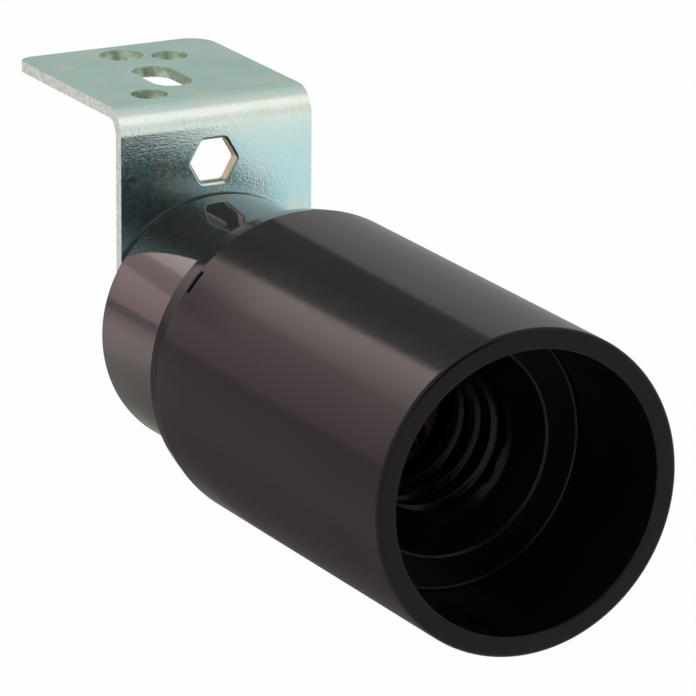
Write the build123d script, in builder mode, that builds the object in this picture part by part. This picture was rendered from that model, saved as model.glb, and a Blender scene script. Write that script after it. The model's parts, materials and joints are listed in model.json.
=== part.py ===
from build123d import *
from math import atan2, ceil, cos, degrees, hypot, radians, sin, tan
import os

# Small screw lamp holder on a zinc-plated angle bracket, in millimetres.
# The lamp axis is the Y axis, the mouth faces -Y, and +Z is up.
# The bracket's leg has its front face at y = 0, and its plate above reaches back to +Y.
# A distance in the turned pieces is counted from the leg's front face toward the mouth.

# Bracket: one strip of sheet steel, bent once
sheet = 1.0
bracket_width = 18.8
plate_height = 20.0
plate_length = 21.6
bend_radius = 2.4
left_plate_corner = 1.5
right_plate_corner = 2.5
pattern_shift = -0.45
large_hole_radius = 2.0
large_hole_setback = 3.2
small_hole_radius = 1.65
small_hole_side = 3.9
far_small_hole_setback = 5.15
near_small_hole_back = 4.65
slot_width = 3.8
slot_length = 7.5
slot_back = 10.0
hex_flats = 3.9
hex_corner = 0.4
hex_height = 14.53
hex_shift = -0.29
nipple_hole_play = 0.15

# Threaded hollow nipple, its nut and its lock washer
nipple_radius = 5.0
nipple_wall = 1.0
nipple_reach = 9.0
nipple_tail = 7.5
nipple_chamfer = 0.5
nut_flats = 14.0
nut_height = 3.0
washer_play = 0.2
washer_margin = 0.1
washer_thickness = 0.8
washer_teeth = 12
washer_tooth_depth = 1.6
washer_gap = 1.3

# Cap: the cup that the nipple enters
cap_edge = 0.5
cap_length = 13.8
cap_wall = 1.9
cap_floor = 3.0
cap_inner_edge = 1.0
boss_wall = 0.9
boss_end = 8.6
neck_step = 0.3
neck_length = 10.2
neck_edge = 0.4

# Metal bush moulded into the cap, and the grub screw that locks the nipple in it
bush_flats = 12.6
bush_cover = 0.9
grub_radius = 1.5
grub_length = 4.2
grub_socket_flats = 1.5
grub_socket_depth = 1.6
grub_tilt = 45.0
grub_aim = 5.5
grub_way = 0.4

# Release catch: a sprung tongue in the cap's neck, under a slit in the sleeve
catch_angle = 139.3
tongue_width = 3.0
tongue_length = 6.0
tongue_setback = 1.3
tongue_slot = 0.4
tooth_length = 1.6
tooth_height = 0.75
tooth_root = 0.3
notch_play = 0.3
notch_way = 0.9
slit_setback = 1.85
slit_width = 0.5
slit_length = 2.3

# Sleeve: the outer skirt, with the lamp thread moulded inside
sleeve_play = 0.1
sleeve_gap = 0.2
socket_wall = 2.7
socket_way = 1.2
back_rim_step = 0.5
back_rim_edge = 0.25
shoulder_length = 2.5
mouth_wall = 1.83
mouth_edge = 0.4
mouth_inner_edge = 0.15
mouth_depth = 13.2
ledge_inner_radius = 9.2
ledge_edge = 0.45
ledge_corner = 0.3
web = 1.9
web_corner = 0.5
skirt_wall = 2.0
funnel_depth = 2.5
funnel_lip = 1.05
foot_length = 5.4
foot_inset = 0.5
foot_inner_radius = 8.7
foot_step = 1.4

# Lamp thread of the small screw size, with rounded grooves
lamp_pitch = 2.822
lamp_crest_radius = 6.25
lamp_groove_radius = 0.82
lamp_thread_overrun = 0.8
thread_length = 9.4
thread_entry = 0.9
thread_wall = 1.83

# Terminal block, held between the cap's rim and the foot of the thread tube
block_play = 0.3
block_cover = 0.3
block_depth = 10.4
block_edge = 0.4
flange_inset = 0.3
flange_thickness = 2.0
stage_play = 0.4
stage_height = 1.0
pit_depth = 1.2
pit_play = 0.6
pit_length = 6.6
barrier = 3.0
pocket_depth = 6.0
pocket_play = 0.2
key_width = 2.4
key_length = 2.0
key_cover = 0.6
key_play = 0.15

# Two terminals: plate, wire saddle, screw and rivet
terminal_gap = 4.2
terminal_width = 5.1
terminal_low = 5.4
terminal_high = 4.5
terminal_thickness = 1.0
screw_rise = 1.6
screw_radius = 1.45
screw_play = 0.05
screw_way = 0.3
screw_length = 5.0
screw_tip = 0.3
screw_head_radius = 2.6
screw_head_height = 2.0
screw_slot_width = 0.7
screw_slot_depth = 0.9
saddle_side = 4.9
saddle_corner = 0.6
saddle_thickness = 0.8
rivet_drop = 3.6
rivet_radius = 0.9
rivet_play = 0.1
rivet_head_radius = 1.4
rivet_head_height = 0.5

# Contact tongues of bronze strip
strip_thickness = 0.35
strip_foot_play = 0.35
strip_bend = 0.6
strip_nose = 1.2
strip_nose_drop = 0.8
centre_strip_width = 3.2
centre_tip_gap = 2.7
side_strip_width = 2.4
side_tip_gap = 0.4
side_tip_rise = 0.9

# Radii, worked out from the inside: terminals, block, cap, sleeve
terminal_middle = (terminal_gap + terminal_width) / 2
terminal_side = terminal_gap / 2 + terminal_width
block_radius = hypot(terminal_side, terminal_low) + block_cover
cavity_radius = block_radius + block_play
cap_radius = cavity_radius + cap_wall
neck_radius = cap_radius - neck_step
tooth_radius = neck_radius + tooth_height
key_radius = neck_radius - key_cover
socket_radius = neck_radius + sleeve_play
sleeve_radius = socket_radius + socket_wall
back_rim_radius = sleeve_radius - back_rim_step
mouth_radius = sleeve_radius - mouth_wall
skirt_inner_radius = sleeve_radius - skirt_wall
flange_radius = neck_radius - flange_inset
foot_radius = flange_radius - foot_inset
stage_radius = foot_inner_radius - stage_play
funnel_radius = lamp_crest_radius + funnel_lip
thread_tube_radius = lamp_crest_radius + lamp_groove_radius + thread_wall
leg_hole_radius = nipple_radius + nipple_hole_play
nipple_bore_radius = nipple_radius - nipple_wall
nut_corner_radius = nut_flats / 2 / cos(radians(30))
washer_radius = nut_corner_radius + washer_margin
washer_bore_radius = nipple_radius + washer_play
boss_radius = bush_flats / 2 / cos(radians(30)) + boss_wall

# Distances along the lamp axis, from the cap to the mouth
neck_end = cap_length + neck_length
tongue_start = cap_length + tongue_setback
sleeve_back = cap_length + sleeve_gap
shoulder_distance = sleeve_back + shoulder_length
notch_end = tongue_start + tooth_length + notch_way
slit_distance = tongue_start + slit_setback
socket_end = neck_end + socket_way
block_back = neck_end - block_depth
flange_end = neck_end + flange_thickness
stage_end = flange_end + stage_height
pocket_floor = block_back + pocket_depth
plate_back = pocket_floor - terminal_thickness
saddle_back = plate_back - saddle_thickness
head_back = saddle_back - screw_head_height
strip_front = stage_end + strip_thickness
thread_end = flange_end + foot_length
centre_tip = thread_end - centre_tip_gap
side_tip = thread_end - side_tip_gap
funnel_end = thread_end + thread_length
ledge = funnel_end + funnel_depth
sleeve_mouth = ledge + mouth_depth
grub_run = grub_length + grub_way
strip_foot = rivet_head_radius + strip_foot_play

turning = Plane(origin=(0, 0, 0), x_dir=(0, -1, 0), z_dir=(-1, 0, 0))


def across(distance):
    """The plane square to the lamp axis at this distance, facing the mouth, X across and Z up."""
    return Plane(origin=(0, -distance, 0), x_dir=(1, 0, 0), z_dir=(0, -1, 0))


def outward(angle, radius):
    """The plane facing out from the lamp axis at this angle and radius, its x toward the mouth."""
    turn = radians(angle)
    out = Vector(cos(turn), 0, sin(turn))
    return Plane(origin=out * radius, x_dir=(0, -1, 0), z_dir=out)


def spoke(angle, distance):
    """The plane square to the lamp axis at this distance, its y pointing out at this angle."""
    turn = radians(angle)
    return Plane(origin=(0, -distance, 0), x_dir=(sin(turn), 0, -cos(turn)), z_dir=(0, -1, 0))


def turned(*corners):
    """A closed outline for turning, from corners given as distance, radius and rounding."""
    with BuildSketch(turning) as outline:
        with BuildLine():
            points = [(distance, radius) for distance, radius, rounding in corners]
            roundings = [rounding for distance, radius, rounding in corners]
            FilletPolyline(*points, radius=roundings, close=True)
        make_face()
    return outline.sketch


def export(piece, name):
    """Label a finished piece and write it under its node's name."""
    piece.part.label = name
    export_step(piece.part, f"parts/{name}.step")


os.makedirs("parts", exist_ok=True)

# The leg's lower end is a half circle about the nipple, hidden behind the cap
with BuildPart() as bracket:
    with BuildSketch(Plane.YZ):
        with BuildLine():
            FilletPolyline(
                (0, -bracket_width / 2),
                (0, plate_height),
                (plate_length, plate_height),
                (plate_length, plate_height - sheet),
                (sheet, plate_height - sheet),
                (sheet, -bracket_width / 2),
                radius=[0, bend_radius, 0, 0, bend_radius - sheet, 0],
                close=True,
            )
        make_face()
    extrude(amount=bracket_width / 2, both=True)
    with BuildSketch(across(-plate_length)):
        Circle(bracket_width / 2)
        with Locations((0, plate_height / 2)):
            Rectangle(bracket_width, plate_height)
    extrude(amount=plate_length, mode=Mode.INTERSECT)
    far_edges = bracket.edges().filter_by(Axis.Z).group_by(Axis.Y)[-1].sort_by(Axis.X)
    fillet(far_edges[0], left_plate_corner)
    far_edges = bracket.edges().filter_by(Axis.Z).group_by(Axis.Y)[-1].sort_by(Axis.X)
    fillet(far_edges[-1], right_plate_corner)
    with BuildSketch(Plane.XY.offset(plate_height)):
        with Locations((pattern_shift, plate_length - large_hole_setback)):
            Circle(large_hole_radius)
        with Locations(
            (pattern_shift + small_hole_side, plate_length - far_small_hole_setback),
            (pattern_shift - small_hole_side, near_small_hole_back),
        ):
            Circle(small_hole_radius)
        with Locations((pattern_shift, slot_back)):
            SlotOverall(slot_length, slot_width, rotation=90)
    extrude(amount=-sheet, mode=Mode.SUBTRACT)
    with BuildSketch(across(0)):
        Circle(leg_hole_radius)
    extrude(amount=-sheet, mode=Mode.SUBTRACT)
    with BuildSketch(across(0)) as hex_hole:
        with Locations((hex_shift, hex_height)):
            RegularPolygon(hex_flats / 2, 6, major_radius=False)
        fillet(hex_hole.vertices(), hex_corner)
    extrude(amount=-sheet, mode=Mode.SUBTRACT)
export(bracket, "bracket")

# Hollow nipple that carries the holder on the bracket and brings in the cable
with BuildPart() as nipple:
    revolve(
        turned(
            (-nipple_tail, nipple_bore_radius, 0),
            (-nipple_tail, nipple_radius - nipple_chamfer, 0),
            (nipple_chamfer - nipple_tail, nipple_radius, 0),
            (nipple_reach - nipple_chamfer, nipple_radius, 0),
            (nipple_reach, nipple_radius - nipple_chamfer, 0),
            (nipple_reach, nipple_bore_radius, 0),
        ),
        axis=Axis.Y,
    )
export(nipple, "nipple")

with BuildPart() as lock_washer:
    with BuildSketch(across(-sheet)):
        Circle(washer_radius)
        Circle(washer_bore_radius, mode=Mode.SUBTRACT)
        with PolarLocations(washer_radius, washer_teeth):
            Rectangle(2 * washer_tooth_depth, washer_gap, mode=Mode.SUBTRACT)
    extrude(amount=-washer_thickness)
export(lock_washer, "lock_washer")

with BuildPart() as nipple_nut:
    nut_front = -sheet - washer_thickness
    nut_back = nut_front - nut_height
    nut_bevel = (nut_corner_radius - nut_flats / 2) * tan(radians(30))
    with BuildSketch(across(nut_front)):
        RegularPolygon(nut_flats / 2, 6, major_radius=False)
    extrude(amount=-nut_height)
    revolve(
        turned(
            (nut_front, nipple_radius, 0),
            (nut_front, nut_flats / 2, 0),
            (nut_front - nut_bevel, nut_corner_radius, 0),
            (nut_back + nut_bevel, nut_corner_radius, 0),
            (nut_back, nut_flats / 2, 0),
            (nut_back, nipple_radius, 0),
        ),
        axis=Axis.Y,
        mode=Mode.INTERSECT,
    )
export(nipple_nut, "nipple_nut")

grub_direction = Vector(0, -cos(radians(grub_tilt)), -sin(radians(grub_tilt)))
grub_seat = Plane(origin=(0, -grub_aim, -nipple_radius), z_dir=grub_direction)

# Cup-shaped cap; its neck enters the sleeve and its boss holds the metal bush
with BuildPart() as cap:
    revolve(
        turned(
            (0, leg_hole_radius, 0),
            (0, cap_radius, cap_edge),
            (cap_length, cap_radius, 0),
            (cap_length, neck_radius, 0),
            (neck_end, neck_radius, neck_edge),
            (neck_end, cavity_radius, 0),
            (cap_floor, cavity_radius, cap_inner_edge),
            (cap_floor, boss_radius, 0),
            (boss_end, boss_radius, 0),
            (boss_end, leg_hole_radius, 0),
        ),
        axis=Axis.Y,
    )
    with BuildSketch(across(bush_cover)):
        RegularPolygon(bush_flats / 2, 6, major_radius=False)
    extrude(amount=boss_end - bush_cover, mode=Mode.SUBTRACT)
    with BuildSketch(grub_seat):
        Circle(grub_radius)
    extrude(amount=grub_run, mode=Mode.SUBTRACT)
    with BuildSketch(across(neck_end)):
        with Locations((0, key_radius)):
            Rectangle(key_width + 2 * key_play, 2 * (key_radius - block_radius))
    extrude(amount=-key_length, mode=Mode.SUBTRACT)
    with BuildSketch(outward(catch_angle, cavity_radius / 2)):
        with Locations((tongue_start - tongue_slot, 0)):
            Rectangle(
                tongue_length + tongue_slot,
                tongue_width + 2 * tongue_slot,
                align=(Align.MIN, Align.CENTER),
            )
        with Locations((tongue_start, 0)):
            Rectangle(
                tongue_length,
                tongue_width,
                align=(Align.MIN, Align.CENTER),
                mode=Mode.SUBTRACT,
            )
    extrude(amount=neck_radius, mode=Mode.SUBTRACT)
    with BuildSketch(spoke(catch_angle, tongue_start)):
        with BuildLine():
            Polyline(
                (-tongue_width / 2, neck_radius - tooth_root),
                (tongue_width / 2, neck_radius - tooth_root),
                (tongue_width / 2, tooth_radius),
                close=True,
            )
        make_face()
    extrude(amount=tooth_length)
export(cap, "cap")

with BuildPart() as bush:
    with BuildSketch(across(bush_cover)):
        RegularPolygon(bush_flats / 2, 6, major_radius=False)
        Circle(nipple_radius, mode=Mode.SUBTRACT)
    extrude(amount=boss_end - bush_cover)
    with BuildSketch(grub_seat):
        Circle(grub_radius)
    extrude(amount=grub_run, both=True, mode=Mode.SUBTRACT)
export(bush, "bush")

# The grub screw's point beds on the nipple
with BuildPart() as grub_screw:
    with BuildSketch(grub_seat):
        Circle(grub_radius)
    extrude(amount=grub_length)
    with BuildSketch(grub_seat.offset(-grub_radius)):
        Circle(grub_radius)
    extrude(amount=grub_radius)
    with BuildSketch(grub_seat.offset(grub_length)):
        RegularPolygon(grub_socket_flats / 2, 6, major_radius=False)
    extrude(amount=-grub_socket_depth, mode=Mode.SUBTRACT)
    with BuildSketch(across(0)):
        Circle(nipple_radius)
    extrude(amount=2 * grub_aim, mode=Mode.SUBTRACT)
export(grub_screw, "grub_screw")

# The sleeve is one moulding: skirt, ledge, funnel and the tube with the lamp thread
with BuildPart() as sleeve:
    revolve(
        turned(
            (sleeve_back, socket_radius, 0),
            (sleeve_back, back_rim_radius, back_rim_edge),
            (shoulder_distance, sleeve_radius, 0),
            (sleeve_mouth, sleeve_radius, mouth_edge),
            (sleeve_mouth, mouth_radius, mouth_inner_edge),
            (ledge, mouth_radius, ledge_corner),
            (ledge, ledge_inner_radius, ledge_edge),
            (funnel_end, funnel_radius, 0),
            (funnel_end - thread_entry, lamp_crest_radius, 0),
            (thread_end, lamp_crest_radius, 0),
            (thread_end, foot_inner_radius, 0),
            (flange_end, foot_inner_radius, 0),
            (flange_end, foot_radius, 0),
            (thread_end + foot_step, foot_radius, 0),
            (thread_end + foot_step, thread_tube_radius, 0),
            (ledge - web, thread_tube_radius, web_corner),
            (ledge - web, skirt_inner_radius, web_corner),
            (socket_end, skirt_inner_radius, 0),
            (socket_end, socket_radius, 0),
        ),
        axis=Axis.Y,
    )
    thread_start = thread_end - lamp_thread_overrun
    thread_turns = ceil((funnel_end + lamp_thread_overrun - thread_start) / lamp_pitch)
    for turn in range(thread_turns):
        with BuildLine() as thread_path:
            Helix(
                pitch=lamp_pitch,
                height=lamp_pitch,
                radius=lamp_crest_radius,
                center=(0, -thread_start - turn * lamp_pitch, 0),
                direction=(0, -1, 0),
            )
        with BuildSketch(Plane(origin=thread_path.line @ 0, z_dir=thread_path.line % 0)):
            Circle(lamp_groove_radius)
        sweep(path=thread_path.line, is_frenet=True, mode=Mode.SUBTRACT)
    with BuildSketch(spoke(catch_angle, sleeve_back)):
        with Locations((0, socket_radius - notch_play)):
            Rectangle(
                tongue_width + 2 * notch_play,
                tooth_height + 2 * notch_play,
                align=(Align.CENTER, Align.MIN),
            )
    extrude(amount=notch_end - sleeve_back, mode=Mode.SUBTRACT)
    with BuildSketch(outward(catch_angle, neck_radius)):
        with Locations((slit_distance, 0)):
            SlotOverall(slit_length, slit_width, rotation=90)
    extrude(amount=sleeve_radius, mode=Mode.SUBTRACT)
export(sleeve, "sleeve")

# Moulded block that carries both terminals behind and both contacts in front
with BuildPart() as terminal_block:
    revolve(
        turned(
            (block_back, 0, 0),
            (block_back, block_radius, block_edge),
            (neck_end, block_radius, 0),
            (neck_end, flange_radius, 0),
            (flange_end, flange_radius, block_edge),
            (flange_end, stage_radius, 0),
            (stage_end, stage_radius, block_edge),
            (stage_end, 0, 0),
        ),
        axis=Axis.Y,
    )
    with BuildSketch(across(neck_end)):
        with Locations((0, block_radius - key_play)):
            Rectangle(
                key_width,
                key_radius - block_radius + key_play,
                align=(Align.CENTER, Align.MIN),
            )
    extrude(amount=-key_length)
    for side in (-1, 1):
        with BuildSketch(across(block_back)):
            with Locations((side * (barrier + cap_radius) / 2, (terminal_high - terminal_low) / 2)):
                Rectangle(cap_radius, terminal_high + terminal_low + 2 * pocket_play)
        extrude(amount=pocket_depth, mode=Mode.SUBTRACT)
        with BuildSketch(across(pocket_floor)):
            with Locations((side * terminal_middle, screw_rise)):
                Circle(screw_radius + screw_way)
        extrude(amount=screw_length - terminal_thickness, mode=Mode.SUBTRACT)
        with BuildSketch(across(pocket_floor)):
            with Locations((side * terminal_middle, -rivet_drop)):
                Circle(rivet_radius)
        extrude(amount=stage_end - pocket_floor, mode=Mode.SUBTRACT)
    centre_heading = degrees(atan2(rivet_drop, terminal_middle))
    centre_reach = hypot(terminal_middle, rivet_drop)
    with BuildSketch(across(stage_end)):
        with Locations(Location((0, 0), centre_heading)):
            Rectangle(pit_length, centre_strip_width + 2 * pit_play)
    extrude(amount=-pit_depth, mode=Mode.SUBTRACT)
export(terminal_block, "terminal_block")

# Each terminal is a plate in its pocket, joined to its contact by a rivet through the block
for side, terminal in ((-1, "centre"), (1, "side")):
    with BuildPart() as plate:
        with BuildSketch(across(plate_back)):
            with Locations((side * terminal_middle, (terminal_high - terminal_low) / 2)):
                Rectangle(terminal_width, terminal_high + terminal_low)
            with Locations((side * terminal_middle, screw_rise)):
                Circle(screw_radius + screw_play, mode=Mode.SUBTRACT)
            with Locations((side * terminal_middle, -rivet_drop)):
                Circle(rivet_radius, mode=Mode.SUBTRACT)
        extrude(amount=terminal_thickness)
    export(plate, f"{terminal}_terminal")

    with BuildPart() as saddle:
        with BuildSketch(across(saddle_back)):
            with Locations((side * terminal_middle, screw_rise)):
                RectangleRounded(saddle_side, saddle_side, saddle_corner)
                Circle(screw_radius, mode=Mode.SUBTRACT)
        extrude(amount=saddle_thickness)
    export(saddle, f"{terminal}_saddle")

    with BuildPart() as screw:
        with BuildSketch(across(head_back)):
            with Locations((side * terminal_middle, screw_rise)):
                Circle(screw_head_radius)
        extrude(amount=screw_head_height)
        with BuildSketch(across(saddle_back)):
            with Locations((side * terminal_middle, screw_rise)):
                Circle(screw_radius)
        extrude(amount=screw_length)
        chamfer(screw.edges().group_by(Axis.Y)[0], screw_tip)
        with BuildSketch(across(head_back)):
            with Locations((side * terminal_middle, screw_rise)):
                Rectangle(3 * screw_head_radius, screw_slot_width)
        extrude(amount=screw_slot_depth, mode=Mode.SUBTRACT)
    export(screw, f"{terminal}_screw")

    with BuildPart() as rivet:
        with BuildSketch(across(plate_back)):
            with Locations((side * terminal_middle, -rivet_drop)):
                Circle(rivet_radius)
        extrude(amount=strip_front - plate_back)
        with BuildSketch(across(plate_back), across(strip_front + rivet_head_height)):
            with Locations((side * terminal_middle, -rivet_drop)):
                Circle(rivet_head_radius)
        extrude(amount=-rivet_head_height)
    export(rivet, f"{terminal}_rivet")

# Each contact is a strip, flat under its rivet and sprung up toward the lamp
contacts = (
    ("centre_contact", -1, centre_heading, centre_strip_width, centre_reach, centre_tip),
    ("side_contact", 1, 90, side_strip_width, rivet_drop + side_tip_rise, side_tip),
)
for contact_name, side, heading, strip_width, tip_run, tip in contacts:
    with BuildPart() as contact:
        run = Vector(cos(radians(heading)), 0, sin(radians(heading)))
        foot = Vector(side * terminal_middle, -stage_end, -rivet_drop)
        strip_side = Plane(origin=foot, x_dir=run, z_dir=run.cross(Vector(0, -1, 0)))
        with BuildSketch(strip_side):
            with BuildLine() as strip_line:
                FilletPolyline(
                    (-strip_foot, strip_thickness / 2),
                    (strip_foot, strip_thickness / 2),
                    (tip_run, tip - stage_end),
                    (tip_run + strip_nose, tip - stage_end - strip_nose_drop),
                    radius=strip_bend,
                )
            trace(line_width=strip_thickness)
        extrude(amount=strip_width / 2, both=True)
        with BuildSketch(across(stage_end)):
            with Locations((side * terminal_middle, -rivet_drop)):
                Circle(rivet_radius + rivet_play)
        extrude(amount=strip_thickness, mode=Mode.SUBTRACT)
    export(contact, contact_name)
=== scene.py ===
import json
from math import atan2, ceil, cos, pi, radians, sin, sqrt, tan
import bmesh
import bpy
from mathutils import Matrix, Vector


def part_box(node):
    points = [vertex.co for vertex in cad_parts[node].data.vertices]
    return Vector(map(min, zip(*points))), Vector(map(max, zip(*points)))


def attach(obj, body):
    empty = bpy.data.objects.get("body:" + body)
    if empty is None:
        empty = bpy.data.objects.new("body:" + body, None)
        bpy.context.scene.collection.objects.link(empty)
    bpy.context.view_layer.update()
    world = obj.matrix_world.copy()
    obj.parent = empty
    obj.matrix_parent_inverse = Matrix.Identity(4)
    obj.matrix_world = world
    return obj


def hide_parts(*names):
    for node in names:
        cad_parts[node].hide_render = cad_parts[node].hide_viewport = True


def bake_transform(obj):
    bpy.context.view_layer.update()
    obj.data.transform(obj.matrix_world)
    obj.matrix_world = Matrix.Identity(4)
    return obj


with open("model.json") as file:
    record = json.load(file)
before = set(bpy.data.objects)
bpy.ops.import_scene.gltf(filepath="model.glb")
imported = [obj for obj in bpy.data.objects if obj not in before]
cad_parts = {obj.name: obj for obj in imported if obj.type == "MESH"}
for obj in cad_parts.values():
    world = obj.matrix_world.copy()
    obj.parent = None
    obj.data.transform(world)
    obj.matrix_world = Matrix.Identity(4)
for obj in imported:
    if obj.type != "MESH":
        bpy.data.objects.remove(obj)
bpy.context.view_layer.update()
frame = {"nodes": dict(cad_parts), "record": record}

# Lengths below are millimetres, and meshes are made in metres.
# The lamp axis is the Y axis, the mouth faces -Y, and a distance is counted from y = 0 toward it.
MM = 0.001
mounts = {mount["name"]: mount for mount in frame["record"]["mounts"]}

# Sleeve
sleeve_low, sleeve_high = (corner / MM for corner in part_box("sleeve"))
sleeve_radius = sleeve_high.z
sleeve_back = -sleeve_high.y
sleeve_mouth = -sleeve_low.y
socket_radius = sleeve_radius - 2.7
back_rim_radius = sleeve_radius - 0.5
shoulder_distance = sleeve_back + 2.5
mouth_radius = mounts["lamp_mouth"]["dims"]["r_mm"]
ledge = sleeve_mouth - 13.2
ledge_radius = 9.2
web_back = ledge - 1.9
skirt_radius = sleeve_radius - 2.0
socket_end = 25.2
funnel_end = ledge - 2.5
funnel_radius = 7.3

# Lamp thread
crest_radius = mounts["lamp_thread"]["dims"]["r_mm"]
groove_radius = 0.82
lamp_pitch = 2.822
thread_end = funnel_end - 9.4
thread_entry = 0.9
thread_start = thread_end - 0.8
rows_per_turn = 24
tube_radius = 8.9
foot_back = thread_end - 5.4
foot_front = thread_end + 1.4
foot_radius = 10.4
foot_bore = 8.7

# The finest rounding of the moulded edges, and the fineness of round shapes
fine_edge = 0.1
circle_points = 64
sleeve_segments = 288
cap_segments = 256
small_segments = 96
bevel_segments = 3
bevel_angle = radians(35)
smooth_angle = radians(50)
weld_distance = 0.0001

# Release slit and notch in the sleeve, over the cap's catch tongue
catch_angle = radians(139.3)
slit_distance = 16.95
slit_length = 2.3
slit_width = 0.5
slit_rounding = slit_width * 0.49
notch_end = 17.6
notch_width = 3.6
notch_top = 12.35

# Cap
cap_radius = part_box("cap")[1].z / MM
cap_length = 13.8
neck_radius = cap_radius - 0.3
neck_end = -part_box("cap")[0].y / MM
cavity_radius = 9.6
cap_floor = 3.0
boss_radius = 8.175
boss_end = 8.6
bush_flats = 12.6
bush_cover = 0.9
leg_hole_radius = 5.15
key_top = 10.9
key_width = 2.7
key_length = 2.0
tongue_start = cap_length + 1.3
tongue_length = 6.0
tongue_width = 3.0
tongue_slot = 0.4
tooth_length = 1.6
tooth_height = 0.75

# Bracket
bracket_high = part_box("bracket")[1] / MM
bracket_half = bracket_high.x
leg_rounding = bracket_half * 0.999
plate_height = bracket_high.z
plate_length = bracket_high.y
sheet = 1.0
bend_radius = 2.4
left_corner = 1.5
right_corner = 2.5
edge_rollover = 0.14
slot_width = 3.8
slot_length = 7.5
slot_rounding = slot_width * 0.499
hex_flats = 3.9
hex_corner = 0.4
hex_roll = 0.3

# Relief of the zinc plating
grain_depth = 0.022
lean_depth = 0.15

# Nipple, nut and washer
nipple_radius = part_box("nipple")[1].x / MM
nipple_bore = mounts["cable_entry"]["dims"]["r_mm"]
nipple_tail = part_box("nipple")[1].y / MM
nipple_reach = -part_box("nipple")[0].y / MM
nipple_pitch = 1.0
nipple_thread_depth = 0.55
nipple_step = nipple_pitch / 8
nipple_chamfer = 0.5
nut_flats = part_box("nipple_nut")[1].z * 2 / MM
nut_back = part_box("nipple_nut")[0].y / MM
nut_height = 3.0
nut_edge = 0.12
washer_radius = 8.18
washer_bore = 5.2
washer_thickness = 0.8
washer_teeth = 12
washer_tooth = 1.6
washer_gap = 1.3
washer_twist = 0.2
washer_edge = 0.08

# Contacts: strips with a riveted foot that stays still while the tongue bends
strip_thickness = 0.35
strip_foot = 1.75
strip_bend = 0.6
strip_nose = 1.2
strip_nose_drop = 0.8
strip_flex = 2.2
strip_hole = 1.0
strip_step = 0.3
strip_edge = 0.03
strip_back = -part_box("centre_contact")[1].y / MM
centre_width = 3.2
centre_tip = thread_end - 2.7
side_width = 2.4
side_tip = thread_end - 0.4
side_rise = 0.9

# Camera, fitted to the photograph's edges
camera_azimuth = radians(-28.0262)
camera_elevation = radians(16.7032)
camera_roll = radians(0.3939)
camera_distance = 549.5186
camera_focus = Vector((0.0, -20.0, 0.0))
camera_aside = 3.5612
camera_rise = 2.7019
photo_side = 696
photo_focal = 6369.75
photo_shift_right = 14.306
photo_shift_down = -2.336
sensor = 36.0

# Studio cards
card_distance = 700.0
card_spacing = 20.0
board_place = 60.0
board_edge = 1.0
board_fade = 5.0

# Floor
floor_side = 6000.0
floor_height = -120.0


# Outlines and meshes

def rounded(corners, step=15.0):
    """A closed outline of points, from corners given as first, second and rounding, each an arc."""
    points = []
    for index, (first, second, rounding) in enumerate(corners):
        here = Vector((first, second))
        if rounding == 0:
            points.append(here)
            continue
        before = (Vector(corners[index - 1][:2]) - here).normalized()
        after = (Vector(corners[(index + 1) % len(corners)][:2]) - here).normalized()
        half = before.angle(after) / 2
        centre = here + (before + after).normalized() * rounding / sin(half)
        start = here + before * rounding / tan(half) - centre
        end = here + after * rounding / tan(half) - centre
        turn = atan2(start.x * end.y - start.y * end.x, start.dot(end))
        count = max(2, round(abs(turn) / radians(step)))
        for part in range(count + 1):
            points.append(centre + Matrix.Rotation(turn * part / count, 2) @ start)
    return points


def circle(first, second, radius):
    """Points round a circle about a place on the first and second axes."""
    turns = [2 * pi * part / circle_points for part in range(circle_points)]
    return [Vector((first + radius * cos(turn), second + radius * sin(turn))) for turn in turns]


def hexagon(first, second, flats, rounding=0.0):
    """A hexagon of this size across its flats, with a corner along the first axis."""
    reach = flats / 2 / cos(pi / 6)
    turns = [2 * pi * part / 6 for part in range(6)]
    return rounded([(first + reach * cos(turn), second + reach * sin(turn), rounding) for turn in turns])


def corners_of(left, low, right, high):
    """The four corners of a rectangle, from its left and low one round to its left and high one."""
    return [(left, low), (right, low), (right, high), (left, high)]


def rectangle(left, low, right, high, rounding=0.0):
    """A rectangle from its left and low to its right and high sides."""
    return rounded([(*corner, rounding) for corner in corners_of(left, low, right, high)])


def plane(origin, first, second):
    """The place of a flat drawing: its origin and the directions of its two axes."""
    place = Matrix((first, second, first.cross(second))).transposed().to_4x4()
    place.translation = origin
    return place


def across(distance):
    """The place of a drawing square to the lamp axis, X across and Z up, facing the mouth."""
    return plane(Vector((0, -distance, 0)), Vector((1, 0, 0)), Vector((0, 0, 1)))


def spoke(angle, distance):
    """The place of a drawing square to the lamp axis, its second axis pointing out at this angle."""
    out = Vector((cos(angle), 0, sin(angle)))
    return plane(Vector((0, -distance, 0)), Vector((sin(angle), 0, -cos(angle))), out)


def outward(angle, radius):
    """The place of a drawing that faces out from the lamp axis, its first axis toward the mouth."""
    out = Vector((cos(angle), 0, sin(angle)))
    return plane(out * radius, Vector((0, -1, 0)), out.cross(Vector((0, -1, 0))))


def linked(name, data):
    """A new object of the scene with this mesh or camera."""
    piece = bpy.data.objects.new(name, data)
    bpy.context.scene.collection.objects.link(piece)
    return piece


def piece_from(name, points, faces):
    """A mesh object from points in millimetres, with its faces turned outward."""
    mesh = bpy.data.meshes.new(name)
    mesh.from_pydata([point * MM for point in points], [], faces)
    shell = bmesh.new()
    shell.from_mesh(mesh)
    bmesh.ops.remove_doubles(shell, verts=shell.verts, dist=weld_distance * MM)
    bmesh.ops.recalc_face_normals(shell, faces=shell.faces)
    shell.to_mesh(mesh)
    shell.free()
    return linked(name, mesh)


def flat_piece(name, corners):
    """A flat four-cornered object from its corners in metres."""
    mesh = bpy.data.meshes.new(name)
    mesh.from_pydata(corners, [], [(0, 1, 2, 3)])
    return linked(name, mesh)


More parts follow.
